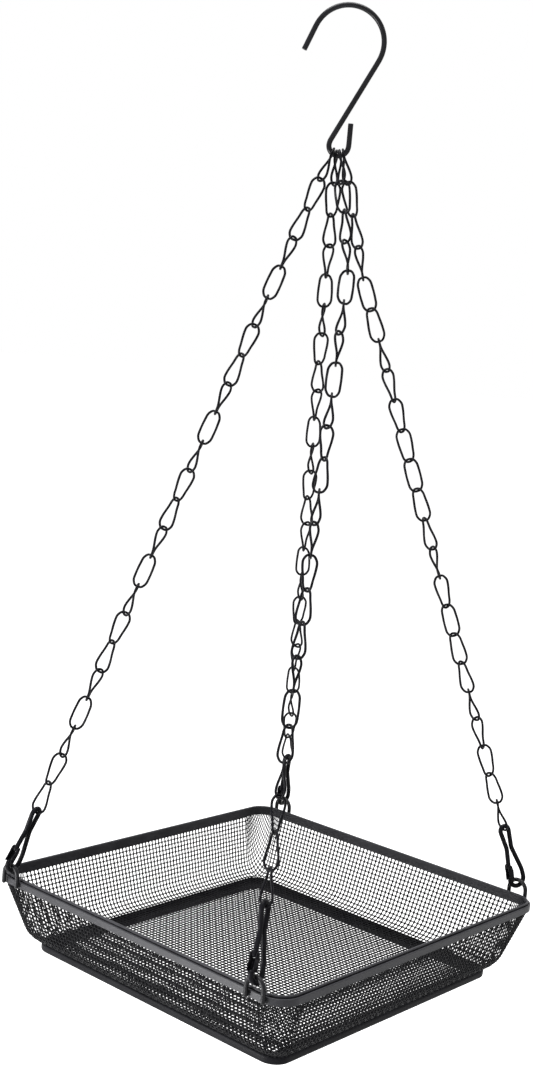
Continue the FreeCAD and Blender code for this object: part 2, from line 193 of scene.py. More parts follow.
@dataclass
class Skin:
    """A surface: points in millimetres and faces as arrays of point numbers."""

    points: Array
    faces: list[Array] = field(default_factory=list)

    @staticmethod
    def joined(skins: list[Skin]) -> Skin:
        """Join several surfaces.

        Args:
            skins: the surfaces.

        Returns:
            One surface, with the others' point numbers shifted.
        """
        shift = np.cumsum([0] + [len(skin.points) for skin in skins])
        faces = [group + start for skin, start in zip(skins, shift) for group in skin.faces]
        return Skin(np.vstack([skin.points for skin in skins]), faces)

    def packed(self) -> Skin:
        """Leave out the points that no face uses.

        Returns:
            The same surface, with its points numbered anew.
        """
        used = np.unique(np.concatenate([group.ravel() for group in self.faces]))
        number = np.zeros(len(self.points), dtype=np.int64)
        number[used] = np.arange(len(used))
        return Skin(self.points[used], [number[group] for group in self.faces])

    def written(self, name: str) -> bpy.types.Object:
        """Write the surface to a new smooth shaded object at the origin.

        Args:
            name: the object's name.

        Returns:
            The object, linked to the scene.
        """
        mesh = bpy.data.meshes.new(name)
        loops = np.concatenate([group.ravel() for group in self.faces]).astype(np.int32)
        sizes = np.concatenate([np.full(len(g), g.shape[1]) for g in self.faces]).astype(np.int32)
        starts = np.concatenate([[0], np.cumsum(sizes)[:-1]]).astype(np.int32)
        mesh.vertices.add(len(self.points))
        mesh.vertices.foreach_set("co", (self.points * TO_METRES).astype(np.float32).ravel())
        mesh.loops.add(len(loops))
        mesh.loops.foreach_set("vertex_index", loops)
        mesh.polygons.add(len(sizes))
        mesh.polygons.foreach_set("loop_start", starts)
        mesh.polygons.foreach_set("use_smooth", np.ones(len(sizes), dtype=bool))
        mesh.update(calc_edges=True)
        mesh.validate()
        piece = bpy.data.objects.new(name, mesh)
        bpy.context.scene.collection.objects.link(piece)
        return piece


def wires(
    paths: Array, guide: Array, radius: Array | float, sides: int,
    closed: bool = False, keep: Optional[Array] = None,
) -> Skin:
    """Return round wires along many paths at once.

    A ring's point is the path's point plus the radius times (cosine of the
    angle along side, sine of it along lift). Side is square to the path and
    the guide, and lift is square to the path and side.

    Args:
        paths: points, as wires by stations by three.
        guide: a direction that no path runs along, of a shape that fits paths.
        radius: the wire's radius, one for all or one a station.
        sides: how many sides a ring has.
        closed: whether each path comes back to its first point.
        keep: which stations are there, as wires by stations; all if left out.

    Returns:
        The wires' surface, with a flat cap at each open end.
    """
    count, stations = paths.shape[:2]
    keep = np.ones((count, stations), dtype=bool) if keep is None else keep
    if closed:
        run = unit(np.roll(paths, -1, axis=1) - np.roll(paths, 1, axis=1))
    else:
        run = unit(np.gradient(paths, axis=1))
    side = unit(np.cross(run, np.broadcast_to(guide, paths.shape)))
    lift = np.cross(side, run)
    angle = 2.0 * np.pi * (np.arange(sides) + 0.5) / sides
    ring = np.cos(angle)[:, None] * side[:, :, None] + np.sin(angle)[:, None] * lift[:, :, None]
    reach = np.broadcast_to(np.asarray(radius, float), (count, stations))[:, :, None, None]
    points = (paths[:, :, None] + reach * ring).reshape(-1, 3)
    number = np.arange(count * stations * sides).reshape(count, stations, sides)
    after = np.roll(number, -1, axis=1)
    there = keep & np.roll(keep, -1, axis=1)
    if not closed:
        there[:, -1] = False
    quads = np.stack([number, after, np.roll(after, -1, 2), np.roll(number, -1, 2)], axis=-1)
    faces = [quads[there].reshape(-1, 4)]
    if not closed:
        lead = np.pad(there, ((0, 0), (1, 0)))[:, :-1]
        faces.append(number[there & ~lead])
        faces.append(number[lead & ~there][:, ::-1])
    return Skin(points, faces).packed()


def single_wire(line: Array, guide: Array, diameter: float, sides: int, domed: bool = True) -> Skin:
    """Return one round wire along a line.

    With domed ends, the last stretch at each end is divided more finely, and
    its radius is the wire's times the root of one less the square of (one
    less the distance from the end over the wire's radius), as on a ball.

    Args:
        line: the wire's points, one a row.
        guide: a direction that the line never runs along.
        diameter: the wire's diameter.
        sides: how many sides a ring has.
        domed: whether the ends are domes rather than flat.

    Returns:
        The wire's surface.
    """
    radius = diameter / 2.0
    if not domed:
        return wires(line[None], guide, radius, sides)
    run = lengths(line)
    tip = radius * (1.0 - np.cos(np.linspace(0.0, np.pi / 2.0, DOME_RINGS)))
    middle = run[(run > radius) & (run < run[-1] - radius)]
    line = sampled(line, np.unique(np.concatenate([tip, middle, run[-1] - tip])))
    run = lengths(line)
    from_end = np.minimum(run, run[-1] - run) / radius
    dome = np.sqrt(np.clip(1.0 - np.clip(1.0 - from_end, 0.0, 1.0) ** 2, DOME_TIP, 1.0))
    return wires(line[None], guide, (radius * dome)[None], sides)


def node(tree: bpy.types.NodeTree, kind: str, values: Optional[dict[str, Any]] = None) -> bpy.types.Node:
    """Add a shader node to a tree.

    Args:
        tree: the tree.
        kind: the node's class, after the words ShaderNode.
        values: what some of its input sockets are set to.

    Returns:
        The new node.
    """
    made = tree.nodes.new(f"ShaderNode{kind}")
    for socket, value in (values or {}).items():
        made.inputs[socket].default_value = value
    return made


def linked(tree: bpy.types.NodeTree, *pairs: tuple[bpy.types.NodeSocket, bpy.types.NodeSocket]) -> None:
    """Link each pair's output socket to its input socket."""
    for source, target in pairs:
        tree.links.new(source, target)


@dataclass(frozen=True)
class Coat:
    """A baked powder coat: dark, half matt, with a fine orange-peel grain.

    Attributes:
        slot: the record's slot that it is the finish of.
        dark: the coat's colour in its hollows.
        light: its colour where it is thin.
        rough: the roughness of its smoothest and of its dullest patches.
        gloss: the shader's specular level.
        grain: how many grains fit in a metre.
        grain_depth: how strongly the grain shows.
        grain_height: how high a grain is, in metres.
        cloud: how many lighter patches fit in a metre.
        ramp: the noise's values at the dark and at the light colour.
        label: the material's name, if it isn't the slot's.
    """

    slot: Slot
    dark: Colour
    light: Colour
    rough: Pair = (0.36, 0.52)
    gloss: float = 0.04
    grain: float = 900.0
    grain_depth: float = 0.25
    grain_height: float = 0.0003
    cloud: float = 60.0
    ramp: Pair = (0.32, 0.72)
    label: str = ""

    def material(self) -> bpy.types.Material:
        """Make the coat as a material on object coordinates.

        A coarse noise moves the colour between dark and light, and the
        roughness between low and high. A fine one is the bump.

        Returns:
            The material.
        """
        material = bpy.data.materials.new(self.label or self.slot.value)
        material.use_nodes = True
        tree = material.node_tree
        shader = tree.nodes["Principled BSDF"]
        shader.inputs["Specular IOR Level"].default_value = self.gloss
        place = node(tree, "TexCoord").outputs["Object"]
        cloud = node(tree, "TexNoise", {"Scale": self.cloud, "Detail": 4.0})
        grain = node(tree, "TexNoise", {"Scale": self.grain, "Detail": 3.0})
        rough = node(tree, "MapRange", {"To Min": self.rough[0], "To Max": self.rough[1]})
        bump = node(tree, "Bump", {"Strength": self.grain_depth, "Distance": self.grain_height})
        tint = node(tree, "ValToRGB")
        for stop, position, colour in zip(tint.color_ramp.elements, self.ramp, (self.dark, self.light)):
            stop.position = position
            stop.color = (*colour, 1.0)
        linked(
            tree, (place, cloud.inputs["Vector"]), (place, grain.inputs["Vector"]),
            (cloud.outputs["Fac"], tint.inputs["Fac"]), (cloud.outputs["Fac"], rough.inputs["Value"]),
            (tint.outputs["Color"], shader.inputs["Base Color"]),
            (rough.outputs["Result"], shader.inputs["Roughness"]),
            (grain.outputs["Fac"], bump.inputs["Height"]), (bump.outputs["Normal"], shader.inputs["Normal"]),
        )
        return material


class Dresser:
    """Gives each piece its coat, its body and the nodes that it stands for."""

    def __init__(self, coats: list[Coat]) -> None:
        """Make one material for each coat."""
        self.materials = {coat.slot: coat.material() for coat in coats}

    def dress(
        self, skin: Skin, name: str, slot: Slot, nodes: list[str],
        body: str = "feeder", finish: Optional[bpy.types.Material] = None,
    ) -> None:
        """Write a surface as a finished piece.

        Args:
            skin: the surface.
            name: the piece's name.
            slot: the slot of its coat.
            nodes: the nodes that it stands for.
            body: the body that it moves with.
            finish: a finish of its own, if it isn't the slot's coat.
        """
        piece = skin.written(name)
        piece.data.materials.append(finish or self.materials[slot])
        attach(piece, body)
        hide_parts(*nodes)
        log.info("%s: %d faces on %s", name, len(piece.data.polygons), body)


@dataclass
class Hook:
    """The S-hook: a round wire with an open bend above and a small loop below."""

    wire: float = 3.0
    upper_radius: float = 20.0
    tip_length: float = 14.5
    tip_turn: float = 158.0
    loop_radius: float = 5.6
    height: float = 75.0
    leg_length: float = 12.5
    azimuth: float = 40.0
    sides: int = 20

    def __post_init__(self) -> None:
        """Work out the hook's own level direction and the lower loop's place."""
        self.across = level(self.azimuth)
        self.loop_centre = -UP * self.height
        self.loop_inner = self.loop_radius - self.wire / 2.0

    def line(self) -> Array:
        """Work out the wire's middle line, from the upper tip to the lower one.

        Two arcs are joined by the straight shank that touches both, and a
        straight end leaves each. The sine of the shank's lean is the sum of
        the arcs' radii over the distance between their centres.

        Returns:
            The line's points, one a row.
        """
        upper = UP * (self.wire / 2.0 - self.upper_radius)
        between = upper[2] + self.height
        shank = math.degrees(math.asin((self.upper_radius + self.loop_radius) / between))
        bend = arc(upper, self.upper_radius, self.tip_turn, -shank, self.across)
        loop = arc(self.loop_centre, self.loop_radius, 180.0 - shank, 360.0, self.across)
        turn = math.radians(self.tip_turn)
        away = UP * math.cos(turn) - self.across * math.sin(turn)
        tip = bend[0] + away * self.tip_length
        foot = loop[-1] + UP * self.leg_length
        return evened(np.vstack([tip, bend, loop, foot]), step=0.6, reach=1.8)

    def build(self, dresser: Dresser) -> None:
        """Build the hook, with a straight cut at each end.

        Args:
            dresser: gives the pieces their coats and bodies.
        """
        normal = level(self.azimuth - 90.0)
        skin = single_wire(self.line(), normal, self.wire, self.sides, domed=False)
        dresser.dress(skin, "hook_wire", Slot.HOOK, ["s_hook"], "hook")


@dataclass(frozen=True)
class Hanging:
    """How one chain hangs.

    Attributes:
        name: the corner that it goes to.
        side_x: the side of that corner in X.
        side_y: its side in Y.
        seat: the place of the top link on the hook's loop, in top links.
        bend: how far the chain's bend lies to the side.
        turns: each link's turn about the chain, in degrees from the hook's plane.
        snap_azimuth: the level direction of the snap's plane.
        eye_drop: how far the last link hangs inside the snap's eye.
        crown_drop: how far the snap hangs under the rim eye's crown.
    """

    name: str
    side_x: int
    side_y: int
    seat: float
    bend: float
    turns: tuple[float, ...]
    snap_azimuth: float
    eye_drop: float
    crown_drop: float


def even_turns(first: float, step: float = 108.0) -> tuple[float, ...]:
    """Return the turns of a chain whose links each turn evenly from the one above."""
    return tuple(first + step * i for i in range(LINK_COUNT))


FRONT_TURNS = (
    80.0, 170.0, 100.0, 54.0, 162.0, 90.0, 54.0, 162.0, 90.0, 28.0, 126.0, 90.0,
    54.0, 18.0, 126.0, 114.0, 54.0, 162.0, 126.0, 90.0, 30.0, 116.0, 104.0,
)
RIGHT_TURNS = (
    90.0, 10.0, 104.0, 54.0, 162.0, 140.0, 90.0, 36.0, 18.0, 0.0, 160.0, 140.0,
    110.0, 57.0, 15.0, 155.0, 138.0, 120.0, 90.0, 36.0, 5.0, 135.0, 87.0,
)
HANGINGS = (
    Hanging("left", -1, -1, -1.5, 0.0, even_turns(90.0), 95.0, 0.25, 0.4),
    Hanging("back", -1, 1, -0.5, 0.0, even_turns(80.0), 95.0, 0.15, 0.5),
    Hanging("front", 1, -1, 0.5, 12.0, FRONT_TURNS, 95.0, 0.15, 0.5),
    Hanging("right", 1, 1, 1.5, -6.5, RIGHT_TURNS, 65.0, 0.25, 0.9),
)


@dataclass
class Suspension:
    """Where the chains start and end, and how high the tray hangs."""

    hook: Hook
    tray_width: float = 225.0
    tray_length: float = 235.0
    eye_wire: float = 2.5
    eye_seat_height: float = 6.0
    eye_from_corner: float = 17.0
    eye_play: float = 0.03
    link_length: float = 18.0
    link_play: float = 0.19
    loop_play: float = 0.43
    snap_length: float = 36.4
    seat_spacing: float = 31.0
    bend_joint: int = 4
    bend_rounds: int = 20

    def __post_init__(self) -> None:
        """Work out how far out the rim's eyes lie, and how high they and the rim are.

        The eyes stand outside the two short sides by half the width of a
        six-sided wire over its corners, and a little play. The chain's and the
        snap's length is taken as one straight slanting line, so the drop from
        the hook to the eyes' inner crowns is the root of that length squared
        less the eyes' level distance squared.
        """
        corner = self.eye_wire / 2.0 / math.cos(math.pi / 6.0)
        self.reach_x = self.tray_width / 2.0 - self.eye_from_corner
        self.reach_y = self.tray_length / 2.0 + corner + self.eye_play
        chain = LINK_COUNT * (self.link_length - self.link_play) + self.snap_length
        drop = math.sqrt(chain**2 - math.hypot(self.reach_x, self.reach_y) ** 2)
        self.eye_seat = -self.hook.height - self.hook.loop_inner - drop
        self.rim_top = self.eye_seat - self.eye_seat_height

    def corner(self, hanging: Hanging, height: float) -> Array:
        """Return the point at a height over the rim eye of a chain's corner."""
        return np.array([hanging.side_x * self.reach_x, hanging.side_y * self.reach_y, height])

    def seat(self, hanging: Hanging) -> Array:
        """Find the point inside the hook's loop where a top link sits.

        Args:
            hanging: how the chain hangs.

        Returns:
            The point, at the seat's angle from the loop's lowest point.
        """
        angle = math.radians(hanging.seat * self.seat_spacing)
        radius = self.hook.loop_inner - self.loop_play
        aside = self.hook.across * math.sin(angle) - UP * math.cos(angle)
        return self.hook.loop_centre + radius * aside

    def foot(self, hanging: Hanging) -> Array:
        """Return the inside of the lower bend of a chain's snap."""
        return self.corner(hanging, self.eye_seat - hanging.crown_drop)

    def joints(self, hanging: Hanging) -> Array:
        """Find the points where one chain's links meet, from the top.

        The chain is two straight stretches that meet at the bend joint. The
        bend's place is found by placing it and measuring the pitch in turn.

        Args:
            hanging: how the chain hangs.

        Returns:
            The points, one a row.
        """
        top = self.seat(hanging)
        bottom = self.foot(hanging)
        share = self.snap_length - hanging.eye_drop
        bend = top + (bottom - top) * (self.bend_joint / float(LINK_COUNT))
        bend = bend + self.hook.across * hanging.bend
        pitch = 0.0
        for _ in range(self.bend_rounds):
            path = np.linalg.norm(bend - top) + np.linalg.norm(bottom - bend)
            pitch = (path - share) / LINK_COUNT
            bend = top + unit(bend - top) * (self.bend_joint * pitch)
        number = np.arange(LINK_COUNT + 1)[:, None]
        upper = top + unit(bend - top) * (number * pitch)
        lower = bend + unit(bottom - bend) * ((number - self.bend_joint) * pitch)
        return np.where(number <= self.bend_joint, upper, lower)


@dataclass
class Chains:
    """Four chains of thin wire links, each link an oval twisted along its length."""

    suspension: Suspension
    wire: float = 1.42
    width: float = 9.5
    twist: float = 36.0
    tip_share: float = 0.5
    shoulder_share: float = 0.75
    sides: int = 8

    def link(self) -> tuple[Array, Array]:
        """Work out one link: an oval in XZ, evened, then turned about Z.

        The turn grows from the top end to the bottom one: it is twist times s
        squared times (three less twice s), where s is the share of the way
        down.

        Returns:
            The link's middle line and, at each point, its plane's normal.
        """
        half = (self.width - self.wire) / 2.0
        tip = half * self.tip_share
        top = self.wire / 2.0
        bottom = -self.suspension.link_length - self.wire / 2.0
        shoulder = half * self.shoulder_share
        right_side = np.array([
            (tip, 0.0, top), (half, 0.0, top - shoulder), (half, 0.0, bottom + shoulder), (tip, 0.0, bottom),
        ])
        flat = np.vstack([right_side, right_side[::-1] * (-1.0, 1.0, 1.0)])
        line = evened(flat, step=0.8, reach=2.4, closed=True)
        share = np.clip((top - shoulder - line[:, 2]) / (top - bottom - 2.0 * shoulder), 0.0, 1.0)
        turn = math.radians(self.twist) * share**2 * (3.0 - 2.0 * share)
        twisted = np.stack([line[:, 0] * np.cos(turn), line[:, 0] * np.sin(turn), line[:, 2]], axis=1)
        normal = np.stack([-np.sin(turn), np.cos(turn), np.zeros_like(turn)], axis=1)
        return twisted, normal

    def frames(self, hanging: Hanging) -> tuple[Array, Array]:
        """Find where the links of one chain hang and how each is turned.

        Args:
            hanging: how the chain hangs.

        Returns:
            The links' upper points, and for each its X, Y and Z directions.
        """
        joints = self.suspension.joints(hanging)
        across = self.suspension.hook.across
        upright = unit(joints[:-1] - joints[1:])
        x_axes = np.stack([turned(across, z, turn) for z, turn in zip(upright, hanging.turns)])
        return joints[:-1], np.stack([x_axes, np.cross(upright, x_axes), upright], axis=1)

    def build(self, dresser: Dresser) -> None:
        """Build each chain as three pieces: its top link, the rest and its end link.

        Args:
            dresser: gives the pieces their coats and bodies.
        """
        line, normal = self.link()
        parts = {"top_link": slice(0, 1), "links": slice(1, -1), "end_link": slice(-1, None)}
        for hanging in HANGINGS:
            places, axes = self.frames(hanging)
            paths = places[:, None] + np.einsum("sk,lkd->lsd", line, axes)
            guides = np.einsum("sk,lkd->lsd", normal, axes)
            for label, part in parts.items():
                skin = wires(paths[part], guides[part], self.wire / 2.0, self.sides, closed=True)
                name = f"chain_{hanging.name}_{label}"
                dresser.dress(skin, f"wire_{name}", Slot.CHAIN, [name])


@dataclass
class Snaps:
    """Four wire snap hooks, each with a folded gate on a rivet.

    A snap is worked out upright in XZ, with the inside of its lower bend at
    the origin and its gate leg on the side of minus X.
    """

    suspension: Suspension
    wire: float = 2.8
    sides: int = 14
    bend_radius: float = 4.8
    eye_radius: float = 2.9
    eye_wrap: float = 15.0
    waist_height: float = 23.5
    waist_half: float = 1.62
    belly_height: float = 8.0
    nose_height: float = 4.9
    pin_height: float = 12.2
    pin_wire: float = 1.2
    pin_edge: float = 1.5
    pin_sides: int = 12
    head_share: float = 1.45
    head_height: float = 0.35
    head_start: float = 0.08
    gate_overlap: float = 1.0
    gate_sheet: float = 0.6
    gate_side_play: float = 0.3
    gate_web_play: float = 0.05
    gate_flange: float = 1.3
    cheek_lap: float = 0.4
    cheek_inset: float = 0.15
    cheek_points: int = 15
    station_gap: float = 1e-4

    def __post_init__(self) -> None:
        """Work out the gate's leg, which goes from the waist straight into the bend.

        Its lean, in radians, is the angle at the waist between the leg and the
        bend's centre, less the one between that centre and straight down.
        Leg_run points up along the leg, and leg_inward from it into the snap.
        Cheek is how far the insides of the gate's cheeks lie from the snap's
        plane.
        """
        self.waist = np.array([-self.waist_half, 0.0, self.waist_height])
        self.bend_centre = UP * (self.bend_radius - self.wire / 2.0)
        away = self.waist - self.bend_centre
        tangent = math.asin(self.bend_radius / float(np.linalg.norm(away)))
        self.lean = tangent - math.atan2(self.waist_half, away[2])
        self.leg_run = np.array([math.sin(self.lean), 0.0, math.cos(self.lean)])
        self.leg_inward = np.array([math.cos(self.lean), 0.0, -math.sin(self.lean)])
        self.cheek = self.wire / 2.0 + self.gate_side_play

    def leg_point(self, height: float, down: float = 0.0) -> Array:
        """Return the point on the gate's leg at a height, or some way down from it."""
        return self.waist - self.leg_run * ((self.waist[2] - height) / self.leg_run[2] + down)

    def frame_line(self) -> Array:
        """Work out the wire's middle line, from the nose round to the gate's pin.

        It is an arc at the bottom, a bowed leg, the waist, an arc round the
        eye and the straight gate leg, evened so that each runs into the next.

        Returns:
            The line's points, one a row.
        """
        lean = math.degrees(self.lean)
        eye = UP * (self.suspension.snap_length + self.wire / 2.0 - self.eye_radius)
        corners = [
            self.leg_point(self.nose_height),
            arc(self.bend_centre, self.bend_radius, 180.0 - lean, 360.0, X_AXIS),
            (self.bend_radius, 0.0, self.belly_height),
            (self.waist_half, 0.0, self.waist_height),
            arc(eye, self.eye_radius, -self.eye_wrap, 180.0 + self.eye_wrap, X_AXIS),
            self.waist,
            self.leg_point(self.pin_height, self.pin_edge),
        ]
        return evened(np.vstack(corners), step=0.45, reach=1.8)

    def gate_skin(self) -> Skin:
        """Make the folded gate: a channel round the nose and two round cheeks.

        The channel is its sheet's outline, evened at the folds, carried along
        the leg. Each cheek is a rounded outline carried through the sheet.

        Returns:
            The three solids' surface.
        """
        cheek = self.cheek
        outside = cheek + self.gate_sheet
        web = self.wire / 2.0 + self.gate_web_play
        web_outside = web + self.gate_sheet
        flange = self.gate_flange
        section = np.array([
            (-flange, -outside), (web_outside, -outside), (web_outside, outside), (-flange, outside),
            (-flange, cheek), (web, cheek), (web, -cheek), (-flange, -cheek),
        ])
        outline = evened(section, step=0.22, reach=0.5, closed=True)
        low = self.leg_point(self.nose_height, self.gate_overlap)
        high = self.leg_point(self.pin_height, self.pin_edge + self.gate_side_play)
        flat = outline[:, :1] * self.leg_inward + outline[:, 1:2] * Y_AXIS
        channel = self.tube(low + flat, high + flat)
        angle = np.linspace(0.0, np.pi, self.cheek_points)
        start = -(self.pin_edge + self.gate_side_play + self.cheek_lap)
        inward = np.concatenate([[web_outside - self.cheek_inset], flange * np.cos(angle), [-flange]])
        upward = np.concatenate([[start], self.pin_edge * np.sin(angle), [start]])
        pivot = self.leg_point(self.pin_height)
        side_view = pivot + inward[:, None] * self.leg_inward + upward[:, None] * self.leg_run
        cheeks = [
            self.tube(side_view + Y_AXIS * near, side_view + Y_AXIS * far)
            for near, far in ((-cheek, -outside), (outside, cheek))
        ]
        return Skin.joined([channel] + cheeks)

    @staticmethod
    def tube(first: Array, last: Array) -> Skin:
        """Close the space between an outline and its copy at the other end.

        Args:
            first: the outline's points, one a row.
            last: its copy's points.

        Returns:
            The side faces and the two ends.
        """
        number = np.arange(2 * len(first)).reshape(2, -1)
        side = np.roll(number, -1, axis=1)
        quads = np.stack([number[0], side[0], side[1], number[1]], axis=-1)
        return Skin(np.vstack([first, last]), [quads, number[:1, ::-1], number[-1:]])

    def rivet_skin(self) -> Skin:
        """Make the gate's rivet: a pin with a low dome on each cheek.

        Its radius along the pin is a profile: a dome, the shank and a dome.
        The stations are set a hair apart, so that no two fall together.

        Returns:
            The rivet's surface.
        """
        outside = self.cheek + self.gate_sheet
        radius = self.pin_wire / 2.0
        angle = np.linspace(self.head_start, np.pi / 2.0, DOME_RINGS)
        head = self.head_share * radius * np.sin(angle)
        proud = outside + self.head_height * np.cos(angle)
        reach = np.concatenate([head, [radius, radius], head[::-1]])
        along = np.concatenate([proud, [outside, -outside], -proud[::-1]])
        along = along + np.linspace(0.0, -self.station_gap, len(along))
        line = self.leg_point(self.pin_height) + along[:, None] * Y_AXIS
        return wires(line[None], UP, reach[None], self.pin_sides)

    def build(self, dresser: Dresser) -> None:
        """Place the four snaps between the chains' ends and the rim's eyes.

        Args:
            dresser: gives the pieces their coats and bodies.
        """
        frame = single_wire(self.frame_line(), Y_AXIS, self.wire, self.sides)
        gate = self.gate_skin()
        rivet = self.rivet_skin()
        for hanging in HANGINGS:
            foot = self.suspension.foot(hanging)
            upright = unit(self.suspension.joints(hanging)[-1] - foot)
            x_axis = turned(level(hanging.snap_azimuth), upright, 0.0)
            axes = np.stack([x_axis, np.cross(upright, x_axis), upright])
            for skin, label, name, body in (
                (frame, "snap_wire", "snap_frame", "feeder"),
                (gate, "snap_channel", "snap_gate", f"gate_{hanging.name}"),
                (rivet, "snap_rivet", "gate_pin", "feeder"),
            ):
                placed = Skin(foot + skin.points @ axes, skin.faces)
                nodes = [f"{name}_{hanging.name}"]
                dresser.dress(placed, f"{label}_{hanging.name}", Slot.SNAP, nodes, body)


@dataclass
class TrayForm:
    """The tray's outline at each depth, and the form that its mesh is pressed to."""

    suspension: Suspension
    rim_corner: float = 14.0
    mesh_inset: float = 1.6
    shelf_inset: float = 18.8
    shelf_depth: float = 42.6
    wall_folds: tuple[Pair, ...] = ((14.5, 40.8), (10.8, 36.0))
    rim_fold_depth: float = 5.4
    top_drop: float = 3.2
    length_share: float = 0.204
    tighten: float = 0.12
    flat_half: Pair = (89.5, 91.5)
    rim_half: Pair = (95.5, 97.5)
    rounding_run: float = 4.2
    corner_steps: int = 14

    def halves(self, inset: float | Array) -> tuple[float | Array, float | Array]:
        """Return half the sizes in X and Y at an inset, which in Y grows faster by a fixed share."""
        faster = inset + (inset - self.mesh_inset) * self.length_share
        return self.suspension.tray_width / 2.0 - inset, self.suspension.tray_length / 2.0 - faster

    def corner(self, inset: float | Array) -> float | Array:
        """Return the corner's radius at an inset: it tightens slowly downwards."""
        return self.rim_corner - self.mesh_inset - (inset - self.mesh_inset) * self.tighten

    def profile(self) -> tuple[Array, Array, Array]:
        """Work out the wall's line, with its folds evened.

        It goes from the flat shelf up the curved foot and the sloping wall
        into the rim.

        Returns:
            The points' distances from the flat, insets and drops.
        """
        start = self.suspension.tray_width / 2.0 - self.flat_half[0]
        line = evened(np.array([
            (start, self.shelf_depth), (self.shelf_inset, self.shelf_depth), *self.wall_folds,
            (self.mesh_inset, self.rim_fold_depth), (self.mesh_inset, self.top_drop),
        ]), step=0.3, reach=3.6)
        return lengths(line), line[:, 0], line[:, 1]

    def hoop(self, halves: Pair, section: Array, radius: Array) -> Skin:
        """Carry a section round an outline with round corners.

        A corner's point is its centre plus the radius times the cosine and
        the sine of an angle that goes through a quarter turn.

        Args:
            halves: half the outline's size in X and in Y.
            section: points, each the distance inside the outline and the
                depth under the rim's top.
            radius: the corner's radius at each of them.

        Returns:
            The closed hoop's surface.
        """
        quarter = np.linspace(0.0, np.pi / 2.0, self.corner_steps + 1)
        corner = np.repeat(np.arange(4), len(quarter))
        angle = (corner - 1.0) * np.pi / 2.0 + np.tile(quarter, 4)
        sign_x = np.array([1.0, 1.0, -1.0, -1.0])[corner]
        sign_y = np.array([-1.0, 1.0, 1.0, -1.0])[corner]
        radius = radius[:, None]
        x = sign_x * (halves[0] - section[:, :1] - radius) + radius * np.cos(angle)
        y = sign_y * (halves[1] - section[:, :1] - radius) + radius * np.sin(angle)
        z = np.broadcast_to(self.suspension.rim_top - section[:, 1:2], x.shape)
        number = np.arange(x.size).reshape(x.shape)
        onward = np.roll(number, -1, axis=1)
        above = np.roll(number, -1, axis=0)
        quads = np.stack([number, onward, np.roll(onward, -1, axis=0), above], axis=-1)
        return Skin(np.stack([x, y, z], axis=-1).reshape(-1, 3), [quads.reshape(-1, 4)])

    def pressed(self, p: Array, q: Array) -> Array:
        """Find where points of the flat woven blank lie once it is pressed.

        Beyond the flat, a blank point's distance from it is measured square
        to the side or, past a corner, from the corner. That distance runs up
        the wall's profile. Round the tray, a point keeps its place along the
        side, and a corner's quarter turn is spread evenly over the length
        that the two sides leave between them, so that the wires draw
        together there.

        Args:
            p: the blank's X.
            q: the blank's Y.

        Returns:
            Points, with one more dimension than p and q.
        """
        flat_x, flat_y = self.flat_half
        over_x, over_y, away = beyond(p, q, self.flat_half)
        run, inset_line, drop_line = self.profile()
        inset = np.interp(away, run, inset_line)
        drop = np.interp(away, run, drop_line)
        share = np.clip(away / self.rounding_run, 0.0, 1.0)
        half_x, wall_y = self.halves(inset)
        low_y = flat_y + (self.halves(self.shelf_inset)[1] - flat_y) * share
        half_y = np.where(inset > self.shelf_inset, low_y, wall_y)
        radius = self.corner(inset) * share
        side_x = flat_x + (self.rim_half[0] - flat_x) * away / run[-1]
        side_y = flat_y + (self.rim_half[1] - flat_y) * away / run[-1]
        straight_x = half_x - radius
        straight_y = half_y - radius
        bend = radius * np.pi / 2.0
        whole = straight_x + bend + straight_y
        turn = np.arctan2(over_x, over_y) / (np.pi / 2.0)
        place = side_x + turn * (whole - side_x - side_y)
        place = np.where(over_x == 0.0, np.abs(p) * side_x / flat_x, place)
        place = np.where((over_y == 0.0) & (over_x > 0.0), whole - np.abs(q) * side_y / flat_y, place)
        angle = np.clip((place - straight_x) / np.maximum(radius, TINY), 0.0, np.pi / 2.0)
        past = np.maximum(place - straight_x - bend, 0.0)
        x = np.minimum(place, straight_x) + radius * np.sin(angle)
        y = straight_y + radius * np.cos(angle) - past
        x = np.where(away > 0.0, x, np.abs(p))
        y = np.where(away > 0.0, y, np.abs(q))
        z = self.suspension.rim_top - drop
        return np.stack([np.copysign(x, p), np.copysign(y, q), z], axis=-1)


